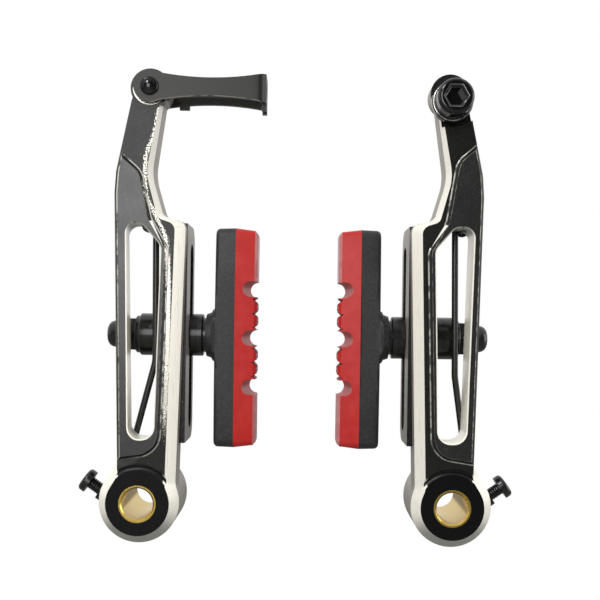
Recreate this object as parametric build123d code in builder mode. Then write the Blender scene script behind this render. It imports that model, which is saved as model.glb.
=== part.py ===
from build123d import *
from math import acos, atan2, cos, radians, sin, sqrt, tan
import os

os.makedirs("parts", exist_ok=True)

# A V brake set for one wheel: two arms on the frame's studs, in millimetres.
# Origin midway between the studs, in the plane of their shoulders; X across, Y to the back, Z up.
# Each arm is drawn in its own terms: x inward from its pivot, z up, depth back from its front face.

# Fits
running_gap = 0.04      # radial, where one piece turns on another
thread_gap = 0.05       # radial, screw in its thread
passing_gap = 0.3       # between pieces that pass each other
wire_gap = 0.25         # between the spring's leg and the arm's back
seat_gap = 0.05         # between the two halves of a ball seat

# Studs and bushes
stud_spacing = 80.0
stud_r = 4.0
bush_wall = 0.75
bush_chamfer = 0.35

# Arm, hub
hub_wall = 2.25
hub_bevel = 2.2
hub_len = 20.0
bevel_depth = 2.9
cove_r = 0.9
cove_ring_r = 9.3
cove_rise = 0.4
pocket_clearance = 1.0
exit_inner_x = 1.5
exit_side_gap = 0.4
exit_foot_z = 2.5

# Arm, outline of the front face
arm_depth = 8.3
rail_foot_x = -5.0
elbow_low = (-6.85, 79.0)
elbow_high = (-6.5, 84.5)
elbow_bend_r = 12.0
eye_x = 1.8
eye_z = 105.6
eye_r = 5.0
eye_outer_aim = (-2.6, 103.6)
eye_inner_aim = (4.4, 102.5)
waist_x = 1.1
waist_z = 84.0
waist_bend_r = 14.0
neck_foot = (4.2, 72.6)
neck_foot_r = 2.0
shoulder = (8.6, 71.2)
shoulder_r = 2.4
leg_foot_x = 6.75
leg_bevel = 2.4
neck_bevel = 1.1
wall_draft = 0.35
brace_face_z = 7.0
brace_rim_z = 10.8
brace_bend_r = 1.2
hub_inner_blend = 5.0

# Arm, raised platform and window
platform_rise = 1.0
platform_slope = 37.0
platform_top_z = 92.0
platform_crest = (0.1, 86.0)
left_platform_lift = -1.6
right_platform_lift = 2.0
platform_neck = (2.6, 72.6)
platform_hip = (7.0, 65.0)
platform_heel = (5.5, 12.8)
platform_foot_z = 10.9
platform_bend_r = 3.6
platform_sweep_r = 6.0
edge_cut = 0.3
window_top_z = 71.2
window_top_outer_x = -4.45
window_top_inner_x = 0.3
window_hip = (5.15, 65.6)
window_foot_z = 16.6
window_foot_outer_x = -3.0
window_foot_inner_x = 3.95
window_top_r = 2.6
window_bend_r = 3.2

# Arm, slotted leg that carries the pad
leg_plate_outer_x = 5.2
leg_plate_thick = 6.0
leg_plate_root = 2.7
leg_plate_foot_z = 15.0
leg_plate_top_z = 72.0
leg_plate_corner_r = 4.5
slot_width = 6.4
slot_back_wall = 3.0
slot_foot_wall = 3.0
slot_top_wall = 4.5

# Return spring, its holder and its stop
wire_r = 0.85
coil_clearance = 0.6
coil_pitch = 1.85
coil_turns = 2.25
spring_tail = 4.0
wire_bend_r = 9.0
bend_swell = 0.06       # the wire's swell where it is bent sharply
left_wire_bend = (2.75, 36.0)
right_wire_bend = (-1.6, 33.2)
left_wire_top_x = 2.4
right_wire_top_x = -1.1
wire_top_z = 73.5
holder_flange_r = 9.5
holder_flange_len = 3.7
stop_r = 1.2
stop_head_r = 1.9
stop_head_len = 0.9
stop_head_round = 0.45
stop_root = 4.0
stop_z = 71.8

# Tension screw
screw_r = 1.5
screw_head_r = 3.1
screw_head_len = 2.0
screw_head_round = 0.9
screw_len = 7.2
screw_point = 0.5
screw_stand = 4.7
screw_z = 4.2
screw_behind_web = 2.7
screw_fall = 35.0
screw_boss_r = 2.6
screw_boss_start = 4.4
screw_boss_len = 4.4
cross_width = 0.9
cross_span = 3.4
cross_depth = 1.1

# Pad, its post and washers, along the post's axis
pad_z = 43.0
pad_len = 58.6
pad_drop = 0.6
pad_draft = 7.0
pad_width = 12.6
pad_bow = 1.5
pad_corner_r = 2.4
carrier_thick = 5.3
compound_thick = 5.9
compound_lip = 0.8
carrier_round = 1.2
carrier_draft = 2.0
notch_r = 2.1
notch_pitch = 13.0
notch_depth = 3.1
notch_lean = 8.0
tread_pitch = 3.7
tread_width = 1.5
tread_depth = 1.0
boss_r = 5.7
boss_root_r = 6.2
boss_len = 2.4
boss_flare = 1.0
boss_fade = 3.6
post_r = 2.95
post_head_r = 4.2
post_head_len = 2.0
post_seat = 2.0
washer_r = 5.65
washer_hole_r = 3.45
ball_r = 8.0
cup_len = 4.0
dome_len = 3.4
inner_cup_len = 1.8
inner_dome_len = 1.8
inner_neck_r = 4.6
inner_neck_len = 0.8
flat_washer_r = 5.0
flat_washer_len = 1.2
washer_break = 0.3
nut_flats = 8.4
nut_hex_len = 4.2
nut_dome_r = 4.0
nut_dome_len = 3.6
nut_blind = 1.2

# Noodle link on the left arm
sheet = 1.2
link_gap = 0.15
link_seat_r = 5.6
link_seat = 0.3
link_pin_rise = 0.2
link_ring_r = 4.1
link_root_half = 3.95
link_reach = 29.5
link_waist_x = 13.5
link_waist_half = 2.35
link_end_half = 3.7
link_bend_r = 2.2
link_tab_drop = 1.5
noodle_r = 2.7
cable_slot = 2.4
lug_x = 7.8
lug_width = 2.6
lug_drop = 1.4
pin_r = 2.0
pin_head_r = 2.35
pin_head_len = 1.0
pin_head_round = 0.7
pin_rivet_len = 0.5

# Cable clamp on the right arm
clamp_drop = 2.8
clamp_recess_r = 8.9
clamp_recess = 1.8
clamp_plate_r = 4.7
clamp_plate_len = 2.3
clamp_flange_r = 5.2
clamp_flange_len = 2.0
cable_r = 0.8
bolt_r = 2.5
bolt_head_r = 4.55
bolt_head_len = 6.0
bolt_head_round = 1.15
bolt_tail = 2.0
bolt_point = 0.5
socket_flats = 4.0
socket_depth = 3.2
socket_mouth = 0.7

LEFT = -1
RIGHT = 1
BACK = (0, 1, 0)
FRONT = (0, -1, 0)
UP = (0, 0, 1)

pivot_x = stud_spacing / 2
bush_r = stud_r + bush_wall
coil_r = bush_r + coil_clearance + wire_r
pocket_r = coil_r + wire_r + pocket_clearance
pocket_depth = arm_depth
hub_r = pocket_r + hub_wall
hub_face_r = hub_r - hub_bevel
bush_len = hub_len + passing_gap + holder_flange_len
exit_outer_x = -pocket_r - exit_side_gap
leg_depth = arm_depth + wire_gap + wire_r
holder_front = leg_depth + coil_pitch * coil_turns + wire_r
stop_reach = leg_depth + wire_r + passing_gap - arm_depth
screw_x = -hub_r - screw_stand
screw_depth = pocket_depth + screw_behind_web
slot_depth = leg_depth + wire_r + passing_gap + washer_r
slot_foot_z = leg_plate_foot_z + slot_foot_wall
slot_top_z = leg_plate_top_z - slot_top_wall
leg_plate_front = arm_depth - leg_plate_root
leg_plate_back = slot_depth + slot_width / 2 + slot_back_wall
leg_plate_inner_x = leg_plate_outer_x + leg_plate_thick
outer_rim_x = leg_plate_outer_x - cup_len
dome_x = outer_rim_x - dome_len
flat_x = dome_x - flat_washer_len
hex_x = flat_x - nut_hex_len
inner_rim_x = leg_plate_inner_x + inner_cup_len
inner_neck_start_x = inner_rim_x + inner_dome_len
boss_x = inner_neck_start_x + inner_neck_len
pad_back_x = boss_x + boss_len
post_seat_x = pad_back_x + post_seat
post_end_x = post_seat_x + post_head_len
pad_face_x = pad_back_x + carrier_thick + compound_thick
eye = (eye_x, eye_z)
link_pin = (eye_x, eye_z + link_pin_rise)
link_front = -link_gap - sheet
link_width = arm_depth + 2 * (link_gap + sheet)
link_end_x = eye_x + link_reach
clamp = (eye_x, eye_z - clamp_drop)
bolt_seat = clamp_recess - clamp_plate_len - clamp_flange_len


def facing(side, depth, x=0.0, z=0.0):
    # Plane parallel to the arm's front face: local x runs inward, local y up.
    return Plane(origin=place(side, x, depth, z), x_dir=(-side, 0, 0), z_dir=(0, side, 0))


def across(side, x):
    # Plane across the arm at x: local x runs to the back, local y up.
    return Plane(origin=place(side, x, 0, 0), x_dir=BACK, z_dir=(1, 0, 0))


def level(side, z):
    # Level plane: local x runs inward, local y to the back.
    return Plane(origin=place(side, 0, 0, z), x_dir=inward(side), z_dir=(0, 0, -side))


def place(side, x, depth, z):
    return (side * (pivot_x - x), depth - bush_len, z)


def inward(side):
    return (-side, 0, 0)


def crossing(inside, outside, centre, r):
    # Where the line from a point inside a circle to one outside it crosses the circle.
    start = Vector(*inside)
    run = (Vector(*outside) - start).normalized()
    along = (Vector(*centre) - start).dot(run)
    off = (start + run * along - Vector(*centre)).length
    return start + run * (along + sqrt(r**2 - off**2))


def tangent_point(outside, r):
    # Where the tangent from a point beside the hub touches its circle, on the point's outer side.
    reach = Vector(*outside).length
    turn = atan2(outside[1], outside[0]) + acos(r / reach)
    return (r * cos(turn), r * sin(turn))


def arm_outline(leg_out, neck_out, rim_r, brace_z):
    # One section of the arm; leg_out and neck_out move its inner edge, rim_r is the hub's radius,
    # and the outer edge leaves for the hub at brace_z.
    hub = (0, 0)
    brace = (rail_foot_x + (elbow_low[0] - rail_foot_x) * brace_z / elbow_low[1], brace_z)
    foot_outer = tangent_point(brace, rim_r)
    eye_outer = crossing(eye_outer_aim, elbow_high, eye, eye_r)
    waist = (waist_x + neck_out, waist_z)
    eye_inner = crossing((eye_inner_aim[0] + neck_out / 2, eye_inner_aim[1]), waist, eye, eye_r)
    rise = leg_out / 3
    neck_corner = (neck_foot[0] + neck_out, neck_foot[1] + rise)
    leg_corner = (shoulder[0] + leg_out, shoulder[1] + rise)
    foot_inner = crossing((leg_foot_x + leg_out, 0), leg_corner, hub, rim_r)
    with BuildSketch() as section:
        with BuildLine():
            FilletPolyline(
                foot_outer, brace, elbow_low, elbow_high, eye_outer,
                radius=(brace_bend_r, elbow_bend_r, elbow_bend_r),
            )
            ThreePointArc(eye_outer, (eye_x, eye_z + eye_r), eye_inner)
            FilletPolyline(
                eye_inner, waist, neck_corner, leg_corner, foot_inner,
                radius=(waist_bend_r, neck_foot_r, shoulder_r),
            )
            ThreePointArc(foot_inner, (0, -rim_r), foot_outer)
        make_face()
        fillet(section.vertices().sort_by_distance(foot_inner)[0], radius=hub_inner_blend)
    return section.sketch


def make_arm(side):
    face = arm_outline(0, 0, hub_face_r, brace_face_z)
    rim = arm_outline(leg_bevel, neck_bevel, hub_r, brace_rim_z)
    rear = arm_outline(leg_bevel + wall_draft, neck_bevel + wall_draft, hub_r, brace_rim_z)
    past_edge_x = elbow_low[0] - eye_r
    lift = platform_lift(side)
    with BuildPart() as arm:
        # Front bevel along the inner edge and round the hub, then the wall behind it.
        with BuildSketch(facing(side, 0)):
            add(face)
        with BuildSketch(facing(side, bevel_depth)):
            add(rim)
        loft(ruled=True)
        with BuildSketch(facing(side, bevel_depth)):
            add(rim)
        with BuildSketch(facing(side, arm_depth)):
            add(rear)
        loft(ruled=True)

        # Platform with sloping edges, between the neck and the hub.
        with BuildSketch(facing(side, 0)):
            add(face)
            with BuildLine():
                FilletPolyline(
                    (past_edge_x, platform_top_z + lift), (elbow_low[0], platform_top_z + lift),
                    (platform_crest[0], platform_crest[1] + lift), platform_neck, platform_hip, platform_heel,
                    (elbow_low[0], platform_foot_z), (past_edge_x, platform_foot_z),
                    radius=(0, 0, platform_sweep_r, platform_bend_r, platform_bend_r, platform_sweep_r, 0, 0),
                    close=True,
                )
            make_face(mode=Mode.INTERSECT)
        extrude(amount=platform_rise, dir=FRONT, taper=platform_slope)

        # Cove between the platform's foot and the hub's face.
        with BuildSketch(across(side, 0)):
            with Locations((-cove_rise, cove_ring_r)):
                Circle(cove_r)
        revolve(axis=pivot_axis(side), mode=Mode.SUBTRACT)

        # Slotted leg behind the inner edge.
        with BuildSketch(across(side, leg_plate_outer_x)):
            with BuildLine():
                FilletPolyline(
                    (leg_plate_front, leg_plate_foot_z), (leg_plate_back, leg_plate_foot_z),
                    (leg_plate_back, leg_plate_top_z), (leg_plate_front, leg_plate_top_z),
                    radius=leg_plate_corner_r,
                )
                Line((leg_plate_front, leg_plate_top_z), (leg_plate_front, leg_plate_foot_z))
            make_face()
        extrude(amount=leg_plate_thick, dir=inward(side))

        # Hub behind the front bevel, and the boss for the tension screw.
        with BuildSketch(facing(side, bevel_depth)):
            Circle(hub_r)
        extrude(amount=hub_len - bevel_depth, dir=BACK)
        with BuildSketch(screw_plane(side).offset(screw_boss_start)):
            Circle(screw_boss_r)
        extrude(amount=screw_boss_len)

        # Window, and the bright cut along the platform's edges.
        with BuildSketch(facing(side, -platform_rise)):
            with BuildLine():
                FilletPolyline(
                    (window_top_outer_x, window_top_z), (window_top_inner_x, window_top_z), window_hip,
                    (window_foot_inner_x, window_foot_z), (window_foot_outer_x, window_foot_z),
                    radius=(window_top_r, window_top_r, window_bend_r, window_bend_r, window_bend_r),
                    close=True,
                )
            make_face()
        extrude(amount=platform_rise + arm_depth, dir=BACK, mode=Mode.SUBTRACT)
        chamfer(arm.faces().sort_by(Axis.Y)[0].inner_wires()[0].edges(), length=edge_cut)

        # Pad slot, bush bore, spring pocket with the way out for the wire, screw hole.
        with BuildSketch(across(side, leg_plate_outer_x)):
            with Locations((slot_depth, (slot_foot_z + slot_top_z) / 2)):
                SlotOverall(slot_top_z - slot_foot_z, slot_width, rotation=90)
        extrude(amount=leg_plate_thick, dir=inward(side), mode=Mode.SUBTRACT)
        with BuildSketch(facing(side, 0)):
            Circle(bush_r + running_gap)
        extrude(amount=hub_len, dir=BACK, mode=Mode.SUBTRACT)
        with BuildSketch(facing(side, pocket_depth)):
            Circle(pocket_r)
            with Locations(((exit_inner_x + exit_outer_x) / 2, exit_foot_z + hub_r / 2)):
                Rectangle(exit_inner_x - exit_outer_x, hub_r)
        extrude(amount=hub_len - pocket_depth, dir=BACK, mode=Mode.SUBTRACT)
        with BuildSketch(screw_plane(side).offset(screw_boss_start)):
            Circle(screw_r + thread_gap)
        extrude(amount=screw_len, mode=Mode.SUBTRACT)

        # Hole for the spring's stop pin.
        with BuildSketch(facing(side, arm_depth)):
            with Locations((stop_x(side), stop_z)):
                Circle(stop_r)
        extrude(amount=stop_root, dir=FRONT, mode=Mode.SUBTRACT)

        # The eye carries the link's pin on the left arm and the cable's clamp on the right one.
        if side == LEFT:
            with BuildSketch(facing(side, 0)):
                with Locations(link_pin):
                    Circle(link_seat_r)
            extrude(amount=link_seat, dir=BACK, mode=Mode.SUBTRACT)
            with BuildSketch(facing(side, 0)):
                with Locations(link_pin):
                    Circle(pin_r + running_gap)
            extrude(amount=arm_depth, dir=BACK, mode=Mode.SUBTRACT)
        else:
            with BuildSketch(facing(side, 0)):
                with Locations(eye):
                    Circle(clamp_recess_r)
            extrude(amount=clamp_recess, dir=BACK, mode=Mode.SUBTRACT)
            with BuildSketch(facing(side, 0)):
                with Locations(clamp):
                    Circle(bolt_r)
            extrude(amount=arm_depth, dir=BACK, mode=Mode.SUBTRACT)
    return arm


def platform_lift(side):
    return left_platform_lift if side == LEFT else right_platform_lift


def pivot_axis(side):
    return Axis(place(side, 0, 0, 0), BACK)


def post_plane(side):
    # Plane through the pad post's axis: local x runs inward along it, local y up from it.
    return facing(side, slot_depth, z=pad_z)


def post_axis(side):
    return Axis(place(side, 0, slot_depth, pad_z), inward(side))


def screw_plane(side):
    # Plane at the middle of the tension screw's head, facing along the screw.
    fall = radians(screw_fall)
    return Plane(
        origin=place(side, screw_x, screw_depth, screw_z),
        x_dir=BACK,
        z_dir=(-side * cos(fall), 0, -sin(fall)),
    )


def wire_bend(side):
    return left_wire_bend if side == LEFT else right_wire_bend


def wire_top_x(side):
    return left_wire_top_x if side == LEFT else right_wire_top_x


def stop_x(side):
    # The leg bears on the stop's inner side.
    return wire_top_x(side) - wire_r - stop_r


def make_bush(side):
    with BuildPart() as bush:
        with BuildSketch(facing(side, 0)):
            Circle(bush_r)
            Circle(stud_r, mode=Mode.SUBTRACT)
        extrude(amount=bush_len, dir=BACK)
        chamfer(bush.edges().group_by(Axis.Y)[0].sort_by(Edge.length)[0], length=bush_chamfer)
    return bush


def make_holder(side):
    with BuildPart() as holder:
        with BuildSketch(facing(side, holder_front)):
            Circle(pocket_r - passing_gap)
        extrude(amount=bush_len - holder_front, dir=BACK)
        with BuildSketch(facing(side, hub_len + passing_gap)):
            Circle(holder_flange_r)
        extrude(amount=bush_len - hub_len - passing_gap, dir=BACK)
        with BuildSketch(facing(side, holder_front)):
            Circle(bush_r)
        extrude(amount=bush_len - holder_front, dir=BACK, mode=Mode.SUBTRACT)
        with BuildSketch(Plane(spring_tail_start(side), z_dir=BACK)):
            Circle(wire_r + thread_gap)
        extrude(amount=spring_tail, mode=Mode.SUBTRACT)
        chamfer(holder.edges().filter_by(GeomType.CIRCLE).sort_by(Edge.length)[-2:], length=bush_chamfer)
    return holder


def leg_foot(side):
    # Where the spring's leg leaves the coil: the tangent from the leg's bend to the coil.
    bend = Vector(*wire_bend(side))
    reach = sqrt(bend.length**2 - coil_r**2)
    along = bend.normalized()
    outward = Vector(-along.Y, along.X)
    return along * (coil_r**2 / bend.length) + outward * (coil_r * reach / bend.length)


def coil_plane(side):
    # Plane at the front of the coil; local x points at the leg's foot, local z to the back.
    foot = leg_foot(side)
    return Plane(
        origin=place(side, 0, leg_depth, 0),
        x_dir=(-side * foot.X, 0, foot.Y),
        z_dir=BACK,
    )


def spring_tail_start(side):
    turn = radians(360 * coil_turns) * side
    height = coil_pitch * coil_turns
    return coil_plane(side).from_local_coords(Vector(coil_r * cos(turn), coil_r * sin(turn), height))


def make_spring(side):
    foot = leg_foot(side)
    bend = wire_bend(side)
    with BuildLine() as turns:
        Helix(pitch=coil_pitch, height=coil_pitch * coil_turns, radius=coil_r, lefthand=side == LEFT)
    coil = coil_plane(side) * turns.line
    with BuildPart() as spring:
        with BuildSketch(Plane(coil @ 0, z_dir=coil % 0)):
            Circle(wire_r)
        sweep(path=coil, is_frenet=True)
        with BuildLine(facing(side, leg_depth)) as leg:
            FilletPolyline((foot.X, foot.Y), bend, (wire_top_x(side), wire_top_z), radius=wire_bend_r)
        with BuildSketch(Plane(leg.line @ 0, z_dir=leg.line % 0)):
            Circle(wire_r)
        sweep(path=leg.line)
        with BuildSketch(Plane(spring_tail_start(side), z_dir=BACK)):
            Circle(wire_r)
        extrude(amount=spring_tail)
        with Locations(leg.line @ 0, spring_tail_start(side)):
            Sphere(wire_r + bend_swell)
    return spring


def make_stop(side):
    with BuildPart() as stop:
        with BuildSketch(facing(side, arm_depth - stop_root)):
            with Locations((stop_x(side), stop_z)):
                Circle(stop_r)
        extrude(amount=stop_root + stop_reach + stop_head_len, dir=BACK)
        with BuildSketch(facing(side, arm_depth + stop_reach)):
            with Locations((stop_x(side), stop_z)):
                Circle(stop_head_r)
        extrude(amount=stop_head_len, dir=BACK)
        fillet(stop.edges().group_by(Axis.Y)[-1], radius=stop_head_round)
    return stop


def make_tension_screw(side):
    head = screw_plane(side).offset(-screw_head_len / 2)
    with BuildPart() as screw:
        with BuildSketch(head):
            Circle(screw_head_r)
        extrude(amount=screw_head_len)
        fillet(screw.edges().sort_by(Axis(head.origin, head.z_dir))[0], radius=screw_head_round)
        with BuildSketch(head.offset(screw_head_len)):
            Circle(screw_r)
        extrude(amount=screw_len)
        chamfer(screw.edges().sort_by(Axis(head.origin, head.z_dir))[-1], length=screw_point)
        with BuildSketch(head):
            Rectangle(cross_span, cross_width)
            Rectangle(cross_width, cross_span)
        extrude(amount=cross_depth, mode=Mode.SUBTRACT)
    return screw


def turned(side, points):
    # A piece turned about the pad post's axis, from (x, radius) points.
    with BuildPart() as piece:
        with BuildSketch(post_plane(side)):
            with BuildLine():
                Polyline(*points, close=True)
            make_face()
        revolve(axis=post_axis(side))
    return piece


def ball_point(rim_x, r, bulge, gap):
    # A point of a ball seat whose rim lies at rim_x, bulging towards +x or -x.
    ball = ball_r - gap
    return (rim_x + bulge * (sqrt(ball**2 - r**2) - sqrt(ball_r**2 - washer_r**2)), r)


def make_cup(side, seat_x, rim_x):
    # Flat against its seat at seat_x, with a hollow ball seat that opens at rim_x.
    bulge = 1 if seat_x > rim_x else -1
    with BuildPart() as cup:
        with BuildSketch(post_plane(side)):
            with BuildLine():
                floor = ball_point(rim_x, washer_hole_r, bulge, 0)
                middle = ball_point(rim_x, (washer_hole_r + washer_r) / 2, bulge, 0)
                Polyline(
                    (rim_x, washer_r), (seat_x - bulge * washer_break, washer_r),
                    (seat_x, washer_r - washer_break), (seat_x, washer_hole_r), floor,
                )
                ThreePointArc(floor, middle, (rim_x, washer_r))
            make_face()
        revolve(axis=post_axis(side))
    return cup


def make_dome(side, rim_x, back_x, neck_x=None):
    # Ball side towards the cup, flat back; a neck, where there is one, runs to neck_x.
    bulge = 1 if rim_x > back_x else -1
    with BuildPart() as dome:
        with BuildSketch(post_plane(side)):
            with BuildLine():
                rim = ball_point(rim_x, washer_r, bulge, seat_gap)
                crown = ball_point(rim_x, washer_hole_r, bulge, seat_gap)
                middle = ball_point(rim_x, (washer_hole_r + washer_r) / 2, bulge, seat_gap)
                ThreePointArc(crown, middle, rim)
                if neck_x is None:
                    Polyline(
                        rim, (back_x + bulge * washer_break, washer_r), (back_x, washer_r - washer_break),
                        (back_x, washer_hole_r), crown,
                    )
                else:
                    Polyline(
                        rim, (back_x + bulge * washer_break, washer_r), (back_x, washer_r - washer_break),
                        (back_x, inner_neck_r), (neck_x, inner_neck_r), (neck_x, washer_hole_r), crown,
                    )
            make_face()
        revolve(axis=post_axis(side))
    return dome


def make_flat_washer(side):
    return turned(side, (
        (dome_x, post_r + thread_gap), (dome_x, flat_washer_r), (flat_x + washer_break, flat_washer_r),
        (flat_x, flat_washer_r - washer_break), (flat_x, post_r + thread_gap),
    ))


def make_nut(side):
    tip_x = hex_x - nut_dome_len
    cap_r = (nut_dome_r**2 + nut_dome_len**2) / (2 * nut_dome_len)
    cap_half = atan2(nut_dome_r, cap_r - nut_dome_len)
    with BuildPart() as nut:
        with BuildSketch(across(side, flat_x)):
            with Locations((slot_depth, pad_z)):
                RegularPolygon(nut_flats / 2, 6, major_radius=False)
        extrude(amount=-nut_hex_len, dir=inward(side))
        with BuildSketch(post_plane(side)):
            with BuildLine():
                Polyline((hex_x, nut_dome_r), (hex_x, 0), (tip_x, 0))
                ThreePointArc(
                    (hex_x, nut_dome_r),
                    (tip_x + cap_r - cap_r * cos(cap_half / 2), cap_r * sin(cap_half / 2)),
                    (tip_x, 0),
                )
            make_face()
        revolve(axis=post_axis(side))
        with BuildSketch(across(side, flat_x)):
            with Locations((slot_depth, pad_z)):
                Circle(post_r + thread_gap)
        extrude(amount=-nut_hex_len, dir=inward(side), mode=Mode.SUBTRACT)
    return nut


def make_post(side):
    tail_x = hex_x + nut_blind
    return turned(side, (
        (tail_x, 0), (tail_x, post_r), (post_seat_x, post_r), (post_seat_x, post_head_r),
        (post_end_x, post_head_r), (post_end_x, 0),
    ))


def pad_outline():
    # The pad seen along its post: bowed to follow the rim, with rounded corners.
    half_len = pad_len / 2
    half_width = pad_width / 2
    with BuildSketch() as outline:
        with BuildLine():
            ThreePointArc(
                (pad_bow - half_width, -half_len), (-half_width, 0), (pad_bow - half_width, half_len))
            ThreePointArc(
                (pad_bow + half_width, -half_len), (half_width, 0), (pad_bow + half_width, half_len))
            Line((pad_bow - half_width, -half_len), (pad_bow + half_width, -half_len))
            Line((pad_bow - half_width, half_len), (pad_bow + half_width, half_len))
        make_face()
        fillet(outline.vertices(), radius=pad_corner_r)
    return outline.sketch


def make_carrier(side):
    with BuildPart() as carrier:
        with BuildSketch(across(side, pad_back_x + carrier_thick)):
            with Locations((slot_depth, pad_z - pad_drop)):
                add(pad_outline())
        extrude(amount=carrier_thick, dir=inward(-side), taper=carrier_draft)
        fillet(carrier.faces().sort_by(Axis.X)[0 if side == LEFT else -1].edges(), radius=carrier_round)
        with BuildSketch(post_plane(side)):
            with BuildLine():
                RadiusArc(
                    (pad_back_x - boss_flare, boss_root_r), (pad_back_x, boss_root_r + boss_flare),
                    radius=boss_flare,
                )
                Polyline(
                    (pad_back_x, boss_root_r + boss_flare),
                    (pad_back_x + carrier_round, boss_root_r + boss_flare),
                    (pad_back_x + boss_fade, boss_r), (pad_back_x + boss_fade, 0),
                    (boss_x, 0), (boss_x, boss_r), (pad_back_x - boss_flare, boss_root_r),
                )
            make_face()
        revolve(axis=post_axis(side))
        with BuildSketch(post_plane(side)):
            with BuildLine():
                Polyline(
                    (boss_x, 0), (boss_x, post_r), (post_seat_x, post_r), (post_seat_x, post_head_r),
                    (post_end_x, post_head_r), (post_end_x, 0),
                    close=True,
                )
            make_face()
        revolve(axis=post_axis(side), mode=Mode.SUBTRACT)
    return carrier


def make_compound(side):
    with BuildPart() as compound:
        with BuildSketch(across(side, pad_back_x + carrier_thick)):
            with Locations((slot_depth, pad_z - pad_drop)):
                add(pad_outline())
        extrude(amount=compound_thick, dir=inward(side), taper=pad_draft)
        chamfer(compound.faces().sort_by(Axis.X)[-1 if side == LEFT else 0].edges(), length=compound_lip)
        # Notches that lean out to the back, with three narrow grooves between each two.
        lean = Vector(*BACK) + Vector(*inward(side)) * tan(radians(notch_lean))
        with BuildSketch(facing(side, slot_depth - pad_width)):
            with Locations((pad_face_x - pad_width * tan(radians(notch_lean)), pad_z - pad_drop)):
                with GridLocations(notch_pitch, notch_pitch, 1, 3):
                    SlotOverall(2 * notch_depth, 2 * notch_r)
        extrude(amount=2 * pad_width / cos(radians(notch_lean)), dir=lean, mode=Mode.SUBTRACT)
        with BuildSketch(facing(side, slot_depth - pad_width)):
            with Locations((pad_face_x, pad_z - pad_drop)):
                with GridLocations(notch_pitch, notch_pitch, 1, 2):
                    with GridLocations(tread_pitch, tread_pitch, 1, 3):
                        Polygon(
                            (-tread_depth, 0), (tread_depth, -tread_width), (tread_depth, tread_width),
                            align=None,
                        )
        extrude(amount=2 * pad_width, dir=BACK, mode=Mode.SUBTRACT)
    return compound


def make_link():
    ring_x, middle_z = link_pin
    inside_x = link_end_x - sheet
    with BuildPart() as link:
        # Waisted outline with a ring at the pin, as deep as the folded sheet is wide.
        with BuildSketch(facing(LEFT, link_front)):
            with BuildLine():
                for up in (1, -1):
                    ThreePointArc(
                        (ring_x, middle_z + up * link_root_half),
                        (ring_x + link_waist_x, middle_z + up * link_waist_half),
                        (link_end_x, middle_z + up * link_end_half),
                    )
                Line((link_end_x, middle_z + link_end_half), (link_end_x, middle_z - link_end_half))
                Line((ring_x, middle_z + link_root_half), (ring_x, middle_z - link_root_half))
            make_face()
            with Locations(link_pin):
                Circle(link_ring_r)
        extrude(amount=link_width, dir=BACK)
        fillet(link.edges().filter_by(Axis.Z).sort_by(Axis.X)[-2:], radius=link_bend_r)

        # Tab below the closed end.
        with BuildSketch(facing(LEFT, link_front + link_bend_r)):
            with Locations((link_end_x - sheet / 2, middle_z - (link_end_half + link_tab_drop) / 2)):
                Rectangle(sheet, link_end_half + link_tab_drop)
        extrude(amount=link_width - 2 * link_bend_r, dir=BACK)

        # Hollow between the leaves, open at the pin's end.
        with BuildSketch(level(LEFT, middle_z - 2 * link_ring_r)):
            with BuildLine():
                FilletPolyline(
                    (ring_x - 2 * link_ring_r, -link_gap), (inside_x, -link_gap),
                    (inside_x, arm_depth + link_gap), (ring_x - 2 * link_ring_r, arm_depth + link_gap),
                    radius=link_bend_r - sheet,
                )
                Line(
                    (ring_x - 2 * link_ring_r, arm_depth + link_gap), (ring_x - 2 * link_ring_r, -link_gap))
            make_face()
        extrude(amount=4 * link_ring_r, dir=UP, mode=Mode.SUBTRACT)

        # Keyhole for the noodle's tip, open below so that the cable can be lifted out.
        with BuildSketch(across(LEFT, inside_x)):
            with Locations((arm_depth / 2, middle_z)):
                Circle(noodle_r)
            with Locations((arm_depth / 2, middle_z - link_ring_r)):
                Rectangle(cable_slot, 2 * link_ring_r)
        extrude(amount=sheet, dir=inward(LEFT), mode=Mode.SUBTRACT)

        # Lug on the back leaf's lower edge, and the pin's holes.
        with BuildSketch(facing(LEFT, arm_depth + link_gap)):
            with Locations((ring_x + lug_x, middle_z - (link_waist_half + lug_drop) / 2)):
                Rectangle(lug_width, link_waist_half + lug_drop)
        extrude(amount=sheet, dir=BACK)
        with BuildSketch(facing(LEFT, link_front)):
            with Locations(link_pin):
                Circle(pin_r)
        extrude(amount=link_width, dir=BACK, mode=Mode.SUBTRACT)
    return link


def make_link_pin():
    with BuildPart() as pin:
        with BuildSketch(facing(LEFT, link_front - pin_head_len)):
            with Locations(link_pin):
                Circle(pin_head_r)
        extrude(amount=pin_head_len, dir=BACK)
        fillet(pin.edges().group_by(Axis.Y)[0], radius=pin_head_round)
        with BuildSketch(facing(LEFT, link_front)):
            with Locations(link_pin):
                Circle(pin_r)
        extrude(amount=link_width, dir=BACK)
        with BuildSketch(facing(LEFT, link_front + link_width)):
            with Locations(link_pin):
                Circle(pin_head_r)
        extrude(amount=pin_rivet_len, dir=BACK)
    return pin


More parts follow.
